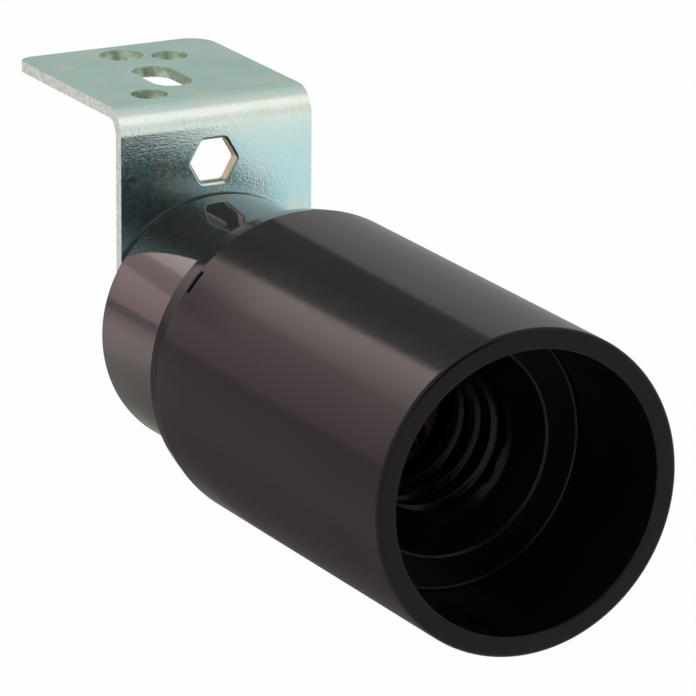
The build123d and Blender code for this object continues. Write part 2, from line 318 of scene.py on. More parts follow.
def turned(name, outline_at, segments, closing=None):
    """A closed ring-shaped mesh about the lamp axis, from its outline of distances and radii at each angle.

    Where the rows wind like a thread, closing says which row of the first outline a row ends on."""
    points = []
    for part in range(segments):
        angle = 2 * pi * part / segments
        outline = outline_at(angle) if callable(outline_at) else outline_at
        for distance, radius in outline:
            points.append(Vector((radius * cos(angle), -distance, radius * sin(angle))))
    rows = len(outline)
    faces = []
    for part in range(segments):
        here = part * rows
        after = (part + 1) % segments * rows
        for row in range(rows):
            beside = (row + 1) % rows
            ends = (closing(row), closing(beside)) if closing and after == 0 else (row, beside)
            corners = (here + row, here + beside, after + ends[1], after + ends[0])
            faces.append(tuple(dict.fromkeys(corners)))
    return piece_from(name, points, [face for face in faces if len(face) > 2])


def prism(name, outline, place, height):
    """A straight solid on an outline drawn at a place, rising by a height along its third axis."""
    base = [place @ Vector((point.x, point.y, 0)) for point in outline]
    top = [place @ Vector((point.x, point.y, height)) for point in outline]
    count = len(outline)
    faces = [tuple(range(count)), tuple(range(count, 2 * count))]
    faces += [(i, (i + 1) % count, count + (i + 1) % count, count + i) for i in range(count)]
    return piece_from(name, base + top, faces)


def bake(piece):
    """Put the piece's modifiers into its mesh."""
    graph = bpy.context.evaluated_depsgraph_get()
    mesh = bpy.data.meshes.new_from_object(piece.evaluated_get(graph))
    piece.modifiers.clear()
    piece.data = mesh


def combine(piece, operation, *others):
    """Cut the others from the piece, join them to it or keep what is common."""
    for other in others:
        modifier = piece.modifiers.new("combine", "BOOLEAN")
        modifier.operation = operation
        modifier.solver = "EXACT"
        modifier.object = other
        bake(piece)
        bpy.data.objects.remove(other)


def soften(piece, width=0.0):
    """Round the edges by a width, shade the piece smooth and let its large faces lead."""
    if width:
        bevel = piece.modifiers.new("bevel", "BEVEL")
        bevel.width = width * MM
        bevel.segments = bevel_segments
        bevel.limit_method = "ANGLE"
        bevel.angle_limit = bevel_angle
        bevel.miter_outer = "MITER_ARC"
        bake(piece)
    piece.data.shade_smooth()
    piece.data.set_sharp_from_angle(angle=smooth_angle)
    normals = piece.modifiers.new("normals", "WEIGHTED_NORMAL")
    normals.keep_sharp = True
    bake(piece)


def place_piece(piece, body, material, node):
    """Give the piece its finish, let it ride on its body and stand for its node."""
    piece.data.materials.clear()
    piece.data.materials.append(material)
    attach(piece, body)
    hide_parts(node)


# Finishes

def finish(name, **values):
    """A material whose shader has these constants on its own sockets."""
    material = bpy.data.materials.new(name)
    material.use_nodes = True
    shader = material.node_tree.nodes["Principled BSDF"]
    for key, value in values.items():
        shader.inputs[key.replace("_", " ")].default_value = value
    return material, material.node_tree, shader


def link(tree, source, target):
    """Join an output to an input."""
    tree.links.new(source, target)


def coordinates(tree, kind="Object"):
    """The piece's own coordinates, or its own normals."""
    return tree.nodes.new("ShaderNodeTexCoord").outputs[kind]


def parts_of(tree, vector):
    """The X, Y and Z parts of a vector."""
    node = tree.nodes.new("ShaderNodeSeparateXYZ")
    link(tree, vector, node.inputs["Vector"])
    return node.outputs


def place_axes(tree):
    """The piece's own coordinates, part by part, in metres."""
    return parts_of(tree, coordinates(tree))


def noise(tree, size, detail=2.0):
    """A grey noise whose grains are about this many millimetres across."""
    grain = tree.nodes.new("ShaderNodeTexNoise")
    grain.inputs["Scale"].default_value = 1 / (size * MM)
    grain.inputs["Detail"].default_value = detail
    link(tree, coordinates(tree), grain.inputs["Vector"])
    return grain.outputs["Fac"]


def ramp(tree, source, *stops):
    """The source looked up in a ramp of stops, each a place and a grey or a colour."""
    node = tree.nodes.new("ShaderNodeValToRGB")
    while len(node.color_ramp.elements) < len(stops):
        node.color_ramp.elements.new(1.0)
    for element, (spot, value) in zip(node.color_ramp.elements, stops):
        element.position = spot
        element.color = (*value, 1) if isinstance(value, tuple) else (value, value, value, 1)
    link(tree, source, node.inputs["Fac"])
    return node.outputs["Color"]


def mixed(tree, share, first, second):
    """Two colours mixed by a share."""
    node = tree.nodes.new("ShaderNodeMix")
    node.data_type = "RGBA"
    link(tree, share, node.inputs["Factor"])
    for source, socket in ((first, node.inputs["A"]), (second, node.inputs["B"])):
        if isinstance(source, tuple):
            socket.default_value = (*source, 1)
        else:
            link(tree, source, socket)
    return node.outputs["Result"]


def bumps(tree, shader, height, depth):
    """Raise the surface by a height map whose range is this many millimetres deep."""
    node = tree.nodes.new("ShaderNodeBump")
    node.inputs["Distance"].default_value = depth * MM
    link(tree, height, node.inputs["Height"])
    link(tree, node.outputs["Normal"], shader.inputs["Normal"])


def calculated(tree, operation, first, second=0.0):
    """The result of an operation on one or two values, each an output or a number."""
    node = tree.nodes.new("ShaderNodeMath")
    node.operation = operation
    for source, socket in ((first, node.inputs[0]), (second, node.inputs[1])):
        if isinstance(source, (int, float)):
            socket.default_value = source
        else:
            link(tree, source, socket)
    return node.outputs[0]


def product(tree, first, *others):
    """The product of some values, each an output or a number."""
    for other in others:
        first = calculated(tree, "MULTIPLY", first, other)
    return first


def rest_of(tree, share):
    """One less a share."""
    return calculated(tree, "SUBTRACT", 1.0, share)


def spread(tree, source, low, high, course="LINEAR"):
    """Zero to one as the source goes from low to high, in millimetres."""
    node = tree.nodes.new("ShaderNodeMapRange")
    node.interpolation_type = course
    node.inputs["From Min"].default_value = low * MM
    node.inputs["From Max"].default_value = high * MM
    link(tree, source, node.inputs["Value"])
    return node.outputs["Result"]


def stretch(tree, source, low, high):
    """Zero to one, smoothly, as the source goes from low to high, in millimetres."""
    return spread(tree, source, low, high, "SMOOTHSTEP")


def axis_radius(tree, axes):
    """The distance from the lamp axis."""
    squares = [calculated(tree, "POWER", axes[axis], 2.0) for axis in "XZ"]
    return calculated(tree, "SQRT", calculated(tree, "ADD", *squares))


def inside_mouth(tree):
    """One inside the sleeve and on its rim, zero on its outer face."""
    axes = place_axes(tree)
    bore = stretch(tree, axis_radius(tree, axes), sleeve_radius - 0.5, sleeve_radius - 0.7)
    face = stretch(tree, axes["Y"], 0.25 - sleeve_mouth, 0.1 - sleeve_mouth)
    return calculated(tree, "MAXIMUM", bore, face)


def near(tree, point, reach):
    """One within this many millimetres of a point, zero beyond."""
    node = tree.nodes.new("ShaderNodeVectorMath")
    node.operation = "DISTANCE"
    link(tree, coordinates(tree), node.inputs[0])
    node.inputs[1].default_value = point * MM
    return stretch(tree, node.outputs["Value"], reach + 0.1, reach - 0.1)


def facing(tree, axis):
    """How squarely the surface faces along one of the piece's own axes, to either side."""
    return calculated(tree, "ABSOLUTE", parts_of(tree, coordinates(tree, "Normal"))[axis])


def sheared_faces(tree, axes):
    """Two shares, one on the strip's sheared sides and hole walls, and one on the edge beside them."""
    sideways = facing(tree, "X")
    past_bend = stretch(tree, axes["Y"], bend_radius + 0.1, bend_radius + 0.3)
    upright = product(tree, rest_of(tree, facing(tree, "Z")), past_bend)
    across_strip = calculated(tree, "MAXIMUM", sideways, upright)
    faces = ramp(tree, across_strip, (0.5, 0.0), (0.75, 1.0))
    edges = ramp(tree, across_strip, (0.2, 0.0), (0.45, 1.0), (0.75, 0.0))
    return faces, edges


def strip_outside(tree, axes):
    """One on the strip's outer sides and its end, zero on its faces and in its holes."""
    aside = calculated(tree, "ABSOLUTE", axes["X"])
    side = stretch(tree, aside, bracket_half - 0.3, bracket_half - 0.2)
    end = stretch(tree, axes["Y"], plate_length - 0.3, plate_length - 0.2)
    return calculated(tree, "MAXIMUM", side, end)


def hex_walls(tree, axes):
    """One on the walls of the hexagonal hole, zero elsewhere."""
    middle = Vector(mounts["hex_hole"]["pos_m"]) / MM + Vector((0, 0.7, 0))
    ring = near(tree, middle, hex_flats / 2 + 0.35)
    return product(tree, ring, stretch(tree, axes["Y"], 0.12, 0.3))


def zinc_tones_and_bend_highlight(tree, axes, top):
    """The plating's colours: green on top and bluish below with straw patches, and a painted highlight, a
    pale colour on the bend and the top of the leg.
    """
    # Painted highlight: the pale colour near the bend stands in for the bright band of light along the
    # bend.
    bend = stretch(tree, axes["Z"], plate_height - 5.0, plate_height - 1.5)
    green = ramp(tree, noise(tree, 7.0, 3.0), (0.35, (0.41, 0.67, 0.58)), (0.65, (0.48, 0.73, 0.61)))
    blue = ramp(tree, noise(tree, 6.0, 3.0), (0.35, (0.44, 0.69, 0.73)), (0.65, (0.52, 0.71, 0.70)))
    pale = ramp(tree, noise(tree, 5.0, 3.0), (0.35, (0.64, 0.76, 0.70)), (0.65, (0.70, 0.78, 0.70)))
    tones_and_bend_highlight = mixed(tree, top, mixed(tree, bend, blue, pale), green)
    straw = ramp(tree, noise(tree, 3.5, 2.0), (0.52, 0.0), (0.72, 0.6))
    return mixed(tree, straw, tones_and_bend_highlight, (0.68, 0.68, 0.56))


def sheared_steel_lit_and_shaded(tree, outer):
    """The streaked colour of bare sheared steel, with painted light making the outer sides paler and
    painted shade making the hole walls darker.
    """
    streaks = noise(tree, 0.5, 3.0)
    # Painted shade in the holes and painted light on the outer sides: one steel in a darker and a paler
    # copy.
    walls = ramp(tree, streaks, (0.3, (0.26, 0.38, 0.28)), (0.7, (0.54, 0.62, 0.46)))
    sides = ramp(tree, streaks, (0.3, (0.48, 0.54, 0.48)), (0.7, (0.74, 0.78, 0.72)))
    return mixed(tree, outer, walls, sides)


def zinc_roughness(tree, top, bare):
    """The plating's roughness, smoother on top than on the leg and dull where it is bare."""
    leg_rough = ramp(tree, noise(tree, 0.5, 3.0), (0.3, 0.17), (0.7, 0.27))
    top_rough = ramp(tree, noise(tree, 0.8, 3.0), (0.3, 0.16), (0.7, 0.22))
    return mixed(tree, bare, mixed(tree, top, leg_rough, top_rough), (0.38, 0.38, 0.38))


def zinc_relief(tree, axes, top):
    """The plating's relief: a fine grain, weak on top, and the leg's slight lean under the bend."""
    peel = ramp(tree, noise(tree, 5.0, 2.0), (0.3, 0.45), (0.7, 1.0))
    flat = ramp(tree, top, (0.0, 1.0), (1.0, 0.12))
    grain = product(tree, noise(tree, 0.2, 2.0), product(tree, peel, flat), grain_depth)
    under_bend = stretch(tree, axes["Z"], plate_height - 8.0, plate_height - 1.5)
    leaning = product(tree, under_bend, lean_depth, rest_of(tree, top))
    return calculated(tree, "SUBTRACT", grain, leaning)


def zinc_strip():
    """The bracket's zinc plate with its bare sheared edges and the gold walls of its hexagonal hole, with a
    painted highlight at the bend, painted light on the outer sides, painted shade in the holes and a
    painted shade line along the rounded edges.
    """
    material, tree, shader = finish("zinc_steel")
    axes = place_axes(tree)
    top = stretch(tree, axes["Y"], 0.8, 2.3)
    faces, edges = sheared_faces(tree, axes)
    outer = strip_outside(tree, axes)
    gold = hex_walls(tree, axes)
    shade = mixed(tree, faces, zinc_tones_and_bend_highlight(tree, axes, top), sheared_steel_lit_and_shaded(tree, outer))
    # Painted shade: a dark line on the rounded edges between the plated faces and the sheared sides.
    shade = mixed(tree, edges, shade, (0.14, 0.14, 0.10))
    link(tree, mixed(tree, gold, shade, (0.82, 0.66, 0.50)), shader.inputs["Base Color"])
    # The outer sides are also made less metallic, as part of their painted light.
    bare_share = calculated(tree, "ADD", 0.3, product(tree, outer, 0.5))
    link(tree, rest_of(tree, product(tree, faces, bare_share)), shader.inputs["Metallic"])
    bare = calculated(tree, "MAXIMUM", faces, gold)
    link(tree, zinc_roughness(tree, top, bare), shader.inputs["Roughness"])
    bumps(tree, shader, zinc_relief(tree, axes, top), 1.0)
    return material


def moulded(name, colour, roughness, clouding, grain, depth, specular, inner=None):
    """Dark moulded plastic with a fine surface grain, duller at the cap's back edge.

    Inner, if given, is the colour and roughness inside the mouth; its darker colour is painted shade inside
    the bore and on the rim."""
    material, tree, shader = finish(name, Specular_IOR_Level=specular, IOR=1.5)
    shade = ramp(tree, noise(tree, 6.0, 3.0), (0.3, colour), (0.7, tuple(c * 1.15 for c in colour)))
    rough = ramp(tree, noise(tree, 1.5, 4.0), (0.3, roughness - clouding), (0.7, roughness + clouding))
    # Painted shade: inside the mouth and on the rim the same black plastic gets a darker colour.
    if inner:
        dark, dull = inner
        mask = inside_mouth(tree)
        shade = mixed(tree, mask, shade, dark)
        rough = mixed(tree, mask, rough, (dull, dull, dull))
    back_edge = stretch(tree, place_axes(tree)["Y"], -0.6, -0.4)
    rough = mixed(tree, back_edge, rough, (0.7, 0.7, 0.7))
    link(tree, shade, shader.inputs["Base Color"])
    link(tree, rough, shader.inputs["Roughness"])
    bumps(tree, shader, noise(tree, grain, 2.0), depth)
    return material


def metal(name, colour, roughness, grain, depth):
    """Plain metal with slight clouding and fine marks."""
    material, tree, shader = finish(name, Metallic=1.0)
    shade = ramp(tree, noise(tree, 3.0, 3.0), (0.3, tuple(c * 0.9 for c in colour)), (0.7, colour))
    link(tree, shade, shader.inputs["Base Color"])
    rough = ramp(tree, noise(tree, 0.6, 3.0), (0.3, roughness * 0.8), (0.7, roughness * 1.25))
    link(tree, rough, shader.inputs["Roughness"])
    bumps(tree, shader, noise(tree, grain, 3.0), depth)
    return material


# Pieces

def lamp_groove(offset):
    """The radius of the lamp thread's groove at this distance from its middle."""
    if abs(offset) >= groove_radius:
        return crest_radius
    return crest_radius + sqrt(groove_radius ** 2 - offset ** 2)


def radius_along(points, distance):
    """The radius at a distance, on the straight stretches between points that run back from the mouth."""
    for here, after in zip(points, points[1:]):
        if after.x <= distance <= here.x and here.x > after.x:
            return here.y + (after.y - here.y) * (here.x - distance) / (here.x - after.x)
    return points[-1].y


def threaded(outline):
    """The outline at each angle with the lamp thread in it, and its closing rows.

    Between the thread's ends the rows follow the helix, so each groove's edges run along rows."""
    inside = [point for point in outline if point.y < funnel_radius + 0.01 and point.x >= thread_end]
    first = outline.index(inside[0])
    before = outline[:first]
    behind = outline[first + len(inside):]
    high, low = inside[0].x, inside[-1].x
    step = lamp_pitch / rows_per_turn
    middle = thread_start + lamp_pitch / 4
    lead = ceil((high - middle) / step)
    count = ceil((high - low + lamp_pitch) / step) + 2

    def outline_at(angle):
        turn = angle / (2 * pi)
        rows = []
        for row in range(count):
            distance = min(high, max(low, middle + (lead - row) * step + lamp_pitch * turn))
            offset = (distance - middle - lamp_pitch * (turn - 0.5)) % lamp_pitch - lamp_pitch / 2
            rows.append(Vector((distance, max(radius_along(inside, distance), lamp_groove(offset)))))
        return before + rows + behind

    def closing(row):
        if not first <= row < first + count:
            return row
        return max(first, row - rows_per_turn)

    return outline_at, closing


def sleeve_outline():
    """The sleeve's section: skirt, mouth, ledge, funnel, thread tube with its foot, and web."""
    return rounded([
        (sleeve_back, socket_radius, fine_edge),
        (sleeve_back, back_rim_radius, 0.25),
        (shoulder_distance, sleeve_radius, 0.8),
        (sleeve_mouth, sleeve_radius, 0.4),
        (sleeve_mouth, mouth_radius, 0.15),
        (ledge, mouth_radius, 0.3),
        (ledge, ledge_radius, 0.45),
        (funnel_end, funnel_radius, 0.3),
        (funnel_end - thread_entry, crest_radius, 0.2),
        (thread_end, crest_radius, fine_edge),
        (thread_end, foot_bore, 0),
        (foot_back, foot_bore, fine_edge),
        (foot_back, foot_radius, 0.2),
        (foot_front, foot_radius, 0.2),
        (foot_front, tube_radius, 0),
        (web_back, tube_radius, 0.5),
        (web_back, skirt_radius, 0.5),
        (socket_end, skirt_radius, 0),
        (socket_end, socket_radius, fine_edge),
    ])


def make_sleeve():
    """The sleeve, one moulding with the ledge, the funnel and the lamp thread inside."""
    outline_at, closing = threaded(sleeve_outline())
    piece = turned("sleeve_moulding", outline_at, sleeve_segments, closing)
    low, high = slit_distance - slit_width / 2, slit_distance + slit_width / 2
    slit = rectangle(low, -slit_length / 2, high, slit_length / 2, slit_rounding)
    notch = rectangle(-notch_width / 2, neck_radius - 1, notch_width / 2, notch_top)
    combine(
        piece,
        "DIFFERENCE",
        prism("slit", slit, outward(catch_angle, neck_radius), sleeve_radius),
        prism("notch", notch, spoke(catch_angle, sleeve_back - 1), notch_end - sleeve_back + 1),
    )
    soften(piece)
    return piece


def tongue_cutters():
    """Cutters that free the catch tongue in the cap's neck, one along each side and one across its end."""
    half = tongue_width / 2
    start = tongue_start - tongue_slot
    drawings = [
        rectangle(start, -half - tongue_slot, tongue_start + tongue_length, -half),
        rectangle(start, half, tongue_start + tongue_length, half + tongue_slot),
        rectangle(start, -half - tongue_slot, tongue_start, half + tongue_slot),
    ]
    place = outward(catch_angle, cavity_radius / 2)
    return [prism("tongue_slot", drawing, place, neck_radius) for drawing in drawings]


def cap_outline():
    """The cap's section: its back and wall, the neck, and the boss round the leg's hole inside."""
    return rounded([
        (0, leg_hole_radius, fine_edge),
        (0, cap_radius, 0.5),
        (cap_length, cap_radius, 0.15),
        (cap_length, neck_radius, fine_edge),
        (neck_end, neck_radius, 0.4),
        (neck_end, cavity_radius, fine_edge),
        (cap_floor, cavity_radius, 1.0),
        (cap_floor, boss_radius, 0.3),
        (boss_end, boss_radius, fine_edge),
        (boss_end, leg_hole_radius, fine_edge),
    ])


def make_cap():
    """The cap with its neck, catch tongue and key notch."""
    piece = turned("cap_moulding", cap_outline(), cap_segments)
    key = rectangle(-key_width / 2, cavity_radius - 1, key_width / 2, key_top)
    combine(
        piece,
        "DIFFERENCE",
        prism("key", key, across(neck_end + 1), -key_length - 1),
        prism("bush_seat", hexagon(0, 0, bush_flats), across(boss_end + 1), bush_cover - boss_end - 1),
        *tongue_cutters(),
    )
    base, tip = neck_radius - 0.3, neck_radius + tooth_height
    corners = ((-tongue_width / 2, base), (tongue_width / 2, base), (tongue_width / 2, tip))
    tooth = [Vector(corner) for corner in corners]
    combine(piece, "UNION", prism("tooth", tooth, spoke(catch_angle, tongue_start), tooth_length))
    soften(piece)
    return piece


def rolled_cutter(name, outline_at, place, roll, depth):
    """A straight cutter that flares by a rounding at the face it enters, from its outline at a growth."""
    steps = 6
    rings = [(roll, -roll)]
    for part in range(steps + 1):
        turn = pi / 2 * part / steps
        rings.append((roll * (1 - sin(turn)), roll * (1 - cos(turn))))
    rings.append((0, depth))
    points = []
    for growth, sunk in rings:
        points += [place @ Vector((point.x, point.y, -sunk)) for point in outline_at(growth)]
    count = len(points) // len(rings)
    faces = [tuple(range(count)), tuple(range(len(points) - count, len(points)))]
    for ring in range(len(rings) - 1):
        here = ring * count
        for i in range(count):
            beside = (i + 1) % count
            faces.append((here + i, here + beside, here + count + beside, here + count + i))
    return piece_from(name, points, faces)


def hole(mount, outline):
    """A cutter through the bracket's plate at one of its mounts."""
    spot = Vector(mounts[mount]["pos_m"]) / MM
    place = plane(Vector((spot.x, spot.y, plate_height + 1)), Vector((1, 0, 0)), Vector((0, 1, 0)))
    return prism(mount, outline, place, -sheet - 2)


def round_hole(mount):
    """A round cutter through the bracket's plate at one of its mounts."""
    return hole(mount, circle(0, 0, mounts[mount]["dims"]["r_mm"]))


def bracket_side():
    """The bracket from the side: the leg, the bend and the plate."""
    return rounded([
        (0, -bracket_half, 0),
        (0, plate_height, bend_radius),
        (plate_length, plate_height, 0),
        (plate_length, plate_height - sheet, 0),
        (sheet, plate_height - sheet, bend_radius - sheet),
        (sheet, -bracket_half, 0),
    ], step=6.0)


def bracket_front():
    """The bracket from the front, its leg round at the foot."""
    return rounded([
        (-bracket_half, -bracket_half, leg_rounding),
        (bracket_half, -bracket_half, leg_rounding),
        (bracket_half, plate_height + 1, 0),
        (-bracket_half, plate_height + 1, 0),
    ], step=4.0)


def bracket_top():
    """The bracket from above, one corner of its plate rounder than the other."""
    return rounded([
        (-bracket_half, -1, 0),
        (bracket_half, -1, 0),
        (bracket_half, plate_length, right_corner),
        (-bracket_half, plate_length, left_corner),
    ], step=8.0)


def bent_strip():
    """The bracket's strip without its holes, what its three outlines have in common."""
    place = plane(Vector((-bracket_half, 0, 0)), Vector((0, 1, 0)), Vector((0, 0, 1)))
    piece = prism("bracket_strip", bracket_side(), place, 2 * bracket_half)
    above = plane(Vector((0, 0, plate_height + 1)), Vector((1, 0, 0)), Vector((0, 1, 0)))
    combine(
        piece,
        "INTERSECT",
        prism("front", bracket_front(), across(1), -plate_length - 2),
        prism("top", bracket_top(), above, -plate_height - bracket_half - 2),
    )
    return piece


def hex_hole():
    """A cutter for the leg's hexagonal hole, flared where it enters."""
    spot = Vector(mounts["hex_hole"]["pos_m"]) / MM

    def outline_at(growth):
        return hexagon(spot.x, spot.z, hex_flats + 2 * growth, hex_corner + growth)

    return rolled_cutter("hex_hole", outline_at, across(0), hex_roll, 2 * sheet)


def make_bracket():
    """The folded strip with its punched holes, every edge a little rolled over."""
    piece = bent_strip()
    half_width, half_length = slot_width / 2, slot_length / 2
    slot = rectangle(-half_width, -half_length, half_width, half_length, slot_rounding)
    combine(
        piece,
        "DIFFERENCE",
        round_hole("large_hole"),
        round_hole("far_small_hole"),
        round_hole("near_small_hole"),
        hole("slot", slot),
        prism("leg_hole", circle(0, 0, leg_hole_radius), across(1), -sheet - 2),
        hex_hole(),
    )
    soften(piece, edge_rollover)
    return piece


def nipple_thread(point, angle):
    """The outline's point with the nipple's fine outer thread cut into it."""
    if point.y < nipple_radius - 0.01:
        return point
    along = (point.x / nipple_pitch - angle / (2 * pi)) % 1.0
    return Vector((point.x, point.y - nipple_thread_depth * (1 - abs(2 * along - 1))))


def make_nipple():
    """The hollow nipple, threaded from end to end."""
    outline = rounded([
        (-nipple_tail, nipple_bore, fine_edge),
        (-nipple_tail, nipple_radius - nipple_chamfer, 0),
        (nipple_chamfer - nipple_tail, nipple_radius, 0),
        (nipple_reach - nipple_chamfer, nipple_radius, 0),
        (nipple_reach, nipple_radius - nipple_chamfer, 0),
        (nipple_reach, nipple_bore, fine_edge),
    ])
    points = []
    for here, after in zip(outline, outline[1:] + outline[:1]):
        points.append(here)
        if here.y > nipple_radius - 0.01 and after.y > nipple_radius - 0.01:
            count = ceil((after - here).length / nipple_step)
            points += [here.lerp(after, part / count) for part in range(1, count)]

    def outline_at(angle):
        return [nipple_thread(point, angle) for point in points]

    piece = turned("nipple_tube", outline_at, small_segments)
    soften(piece)
    return piece


def make_nut():
    """The hexagon nut, bevelled on both faces."""
    reach = nut_flats / 2 / cos(pi / 6)
    bevel = (reach - nut_flats / 2) * tan(pi / 6)
    piece = prism("nipple_nut_hexagon", hexagon(0, 0, nut_flats), across(-nut_back), -nut_height)
    crown = turned("crown", [Vector(point) for point in (
        (-nut_back, nipple_radius - 0.2),
        (-nut_back, nut_flats / 2),
        (-nut_back - bevel, reach),
        (-nut_back - nut_height + bevel, reach),
        (-nut_back - nut_height, nut_flats / 2),
        (-nut_back - nut_height, nipple_radius - 0.2),
    )], small_segments)
    combine(piece, "INTERSECT", crown)
    soften(piece, nut_edge)
    return piece


def tooth_points(start):
    """One tooth's points from the angle where it starts, outer and inner ones on both faces."""
    pitch = 2 * pi / washer_teeth
    gap = washer_gap / washer_radius / 2
    root = washer_radius - washer_tooth
    stops = (
        (start, root, 0), (start + gap, root, 0), (start + gap, washer_radius, 1),
        (start + pitch / 2, washer_radius, 0),
        (start + pitch - gap, washer_radius, -1), (start + pitch - gap, root, 0),
    )
    points = []
    for angle, radius, lean in stops:
        for depth, twist in ((0, washer_twist / 2), (washer_thickness, -washer_twist / 2)):
            lift = sheet + depth + lean * twist
            points.append(Vector((radius * cos(angle), lift, radius * sin(angle))))
            points.append(Vector((washer_bore * cos(angle), sheet + depth, washer_bore * sin(angle))))
    return points


def make_washer():
    """The toothed washer, each tooth twisted a little."""
    points = []
    for tooth in range(washer_teeth):
        points += tooth_points(2 * pi * tooth / washer_teeth)
    faces = []
    for here in range(0, len(points), 4):
        after = (here + 4) % len(points)
        faces.append((here, after, after + 2, here + 2))
        faces.append((here + 1, here + 3, after + 3, after + 1))
        faces.append((here, here + 1, after + 1, after))
        faces.append((here + 2, after + 2, after + 3, here + 3))
    piece = piece_from("toothed_washer", points, faces)
    soften(piece, washer_edge)
    return piece


def strip_line(tip_run, tip):
    """The middle line of a contact, as runs along it and heights toward the lamp, in short steps."""
    height = tip - strip_back
    middle = strip_thickness / 2
    line = rounded([
        (-strip_foot, middle, 0),
        (strip_foot, middle, strip_bend),
        (tip_run, height, strip_bend),
        (tip_run + strip_nose, height - strip_nose_drop, 0),
    ])
    steps = []
    for here, after in zip(line, line[1:]):
        count = ceil((after - here).length / strip_step)
        steps += [here.lerp(after, part / count) for part in range(count)]
    return steps + [line[-1]]


def make_contact(rivet, run, width, tip_run, tip):
    """A sprung contact strip on its rivet, and the points between which it bends."""
    low, high = (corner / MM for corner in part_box(rivet))
    foot = Vector(((low.x + high.x) / 2, -strip_back, (low.z + high.z) / 2))
    line = strip_line(tip_run, tip)
    near_side = []
    far_side = []
    for index, point in enumerate(line):
        along = (line[min(index + 1, len(line) - 1)] - line[max(index - 1, 0)]).normalized()
        aside = Vector((-along.y, along.x)) * strip_thickness / 2
        near_side.append(point + aside)
        far_side.append(point - aside)
    rise = Vector((0, -1, 0))
    place = plane(foot - run.cross(rise) * width / 2, run, rise)
    piece = prism(rivet.replace("rivet", "strip"), near_side + far_side[::-1], place, width)
    hole_outline = circle(foot.x, foot.z, strip_hole)
    combine(piece, "DIFFERENCE", prism("strip_hole", hole_outline, across(strip_back - 1), 2))
    soften(piece, strip_edge)
    start = foot + run * strip_foot
    return piece, start * MM, (start + run * strip_flex) * MM


def place_contact(name, material, rivet, run, width, tip_run, tip):
    """One contact in its finish, in the place of its CAD node."""
    piece, start, end = make_contact(rivet, run, width, tip_run, tip)
    piece.data.materials.append(material)
    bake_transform(piece)
    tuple(start)
    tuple(end)
    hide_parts(name + "_contact")


def place_contacts(material):
    """Both contacts, the centre one toward the lamp axis and the side one straight up."""
    low, high = (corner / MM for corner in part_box("centre_rivet"))
    inward = Vector((-(low.x + high.x) / 2, 0, -(low.z + high.z) / 2))
    run = inward.normalized()
    place_contact("centre", material, "centre_rivet", run, centre_width, inward.length, centre_tip)
    run = Vector((0, 0, 1))
    place_contact("side", material, "side_rivet", run, side_width, inward.z + side_rise, side_tip)


def dress_hidden(brass, plated, block_plastic):
    """The hidden CAD solids, which stay as they are, in their finishes."""
    finishes = {
        "bush": brass, "grub_screw": plated, "terminal_block": block_plastic,
        "centre_terminal": brass, "side_terminal": brass, "centre_saddle": plated, "side_saddle": plated,
        "centre_screw": plated, "side_screw": plated, "centre_rivet": brass, "side_rivet": brass,
    }
    for node, material in finishes.items():
        mesh = frame["nodes"][node].data
        mesh.materials.clear()
        mesh.materials.append(material)


def dress():
    """Every piece with its finish, and the new pieces but the contacts on their bodies."""
    steel = metal("zinc_parts", (0.56, 0.72, 0.68), roughness=0.22, grain=0.3, depth=0.006)
    # Its inner colour is painted shade inside the mouth and on the rim.
    sleeve_plastic = moulded(
        "black_plastic", (0.012, 0.010, 0.010), roughness=0.12, clouding=0.02, grain=0.25, depth=0.003,
        specular=0.15, inner=((0.004, 0.0025, 0.002), 0.2))
    cap_plastic = moulded(
        "cap_plastic", (0.012, 0.010, 0.011), roughness=0.06, clouding=0.02, grain=0.3, depth=0.0015,
        specular=1.0)
    block_plastic = moulded(
        "block_plastic", (0.10, 0.055, 0.035), roughness=0.55, clouding=0.06, grain=0.15, depth=0.01,
        specular=0.5)
    plated = metal("plated_steel", (0.66, 0.66, 0.64), roughness=0.25, grain=0.2, depth=0.004)
    brass = metal("brass", (0.80, 0.60, 0.28), roughness=0.25, grain=0.2, depth=0.003)
    bronze = metal("bronze_strip", (0.78, 0.50, 0.28), roughness=0.22, grain=0.3, depth=0.003)
    place_piece(make_sleeve(), "sleeve", sleeve_plastic, "sleeve")
    place_piece(make_cap(), "holder", cap_plastic, "cap")
    place_piece(make_bracket(), "holder", zinc_strip(), "bracket")
    place_piece(make_nipple(), "holder", steel, "nipple")
    place_piece(make_nut(), "holder", steel, "nipple_nut")
    place_piece(make_washer(), "holder", steel, "lock_washer")
    place_contacts(bronze)
    dress_hidden(brass, plated, block_plastic)


# Studio

def direction(azimuth, elevation):
    """The unit direction at an azimuth, 0 at the mouth's side and growing toward +X, and an elevation."""
    turn = radians(azimuth)
    lift = radians(elevation)
    return Vector((sin(turn) * cos(lift), -cos(turn) * cos(lift), sin(lift)))


def fade(tree, coordinate, half, soft):
    """One between the two edges at half, going to zero over the soft length inside each edge."""
    return stretch(tree, calculated(tree, "ABSOLUTE", coordinate), half, half - soft)


def glow_material(name):
    """A material of light only, its tree and the node that glows."""
    material = bpy.data.materials.new(name)
    material.use_nodes = True
    tree = material.node_tree
    tree.nodes.clear()
    return material, tree, tree.nodes.new("ShaderNodeEmission")


def finish_card(piece, material, tree, share, glow):
    """Let the card glow by this share and be clear elsewhere, seen by nothing but reflections."""
    clear = tree.nodes.new("ShaderNodeBsdfTransparent")
    blend = tree.nodes.new("ShaderNodeMixShader")
    link(tree, share, blend.inputs["Fac"])
    link(tree, clear.outputs[0], blend.inputs[1])
    link(tree, glow.outputs[0], blend.inputs[2])
    output = tree.nodes.new("ShaderNodeOutputMaterial")
    link(tree, blend.outputs[0], output.inputs["Surface"])
    piece.data.materials.append(material)
    piece.visible_camera = False
    piece.visible_diffuse = False
    piece.visible_shadow = False
    piece.visible_transmission = False


